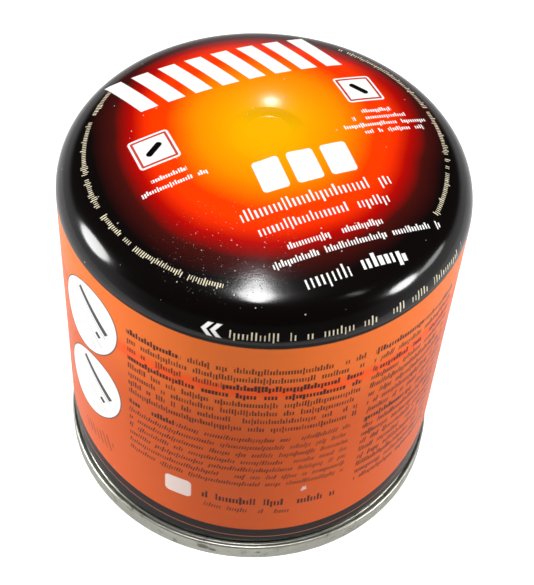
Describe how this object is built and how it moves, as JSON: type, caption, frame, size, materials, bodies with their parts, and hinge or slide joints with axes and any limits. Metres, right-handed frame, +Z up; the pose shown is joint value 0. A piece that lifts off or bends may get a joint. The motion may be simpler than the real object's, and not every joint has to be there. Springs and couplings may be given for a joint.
{
  "type": "pierceable gas canister",
  "caption": "Small sealed steel fuel can with a domed top, a low round boss to pierce, a straight printed wall and a rolled bare steel seam at its foot.",
  "frame": {"origin": "centre of the circle that the can stands on", "axes": "+Z up along the can's axis through the boss; +X to the right and -Y towards the viewer, as the printed text block faces"},
  "size_m": [0.0902, 0.0902, 0.096],
  "materials": {
    "painted_steel": "glossy litho print over drawn steel: orange wall, black shoulder, yellow to red glow on the top",
    "bare_tinplate": "dull worn tinplate of the seam and the base end, slightly stained"
  },
  "bodies": {
    "root": {"canister": "painted_steel"}
  },
  "joints": []
}
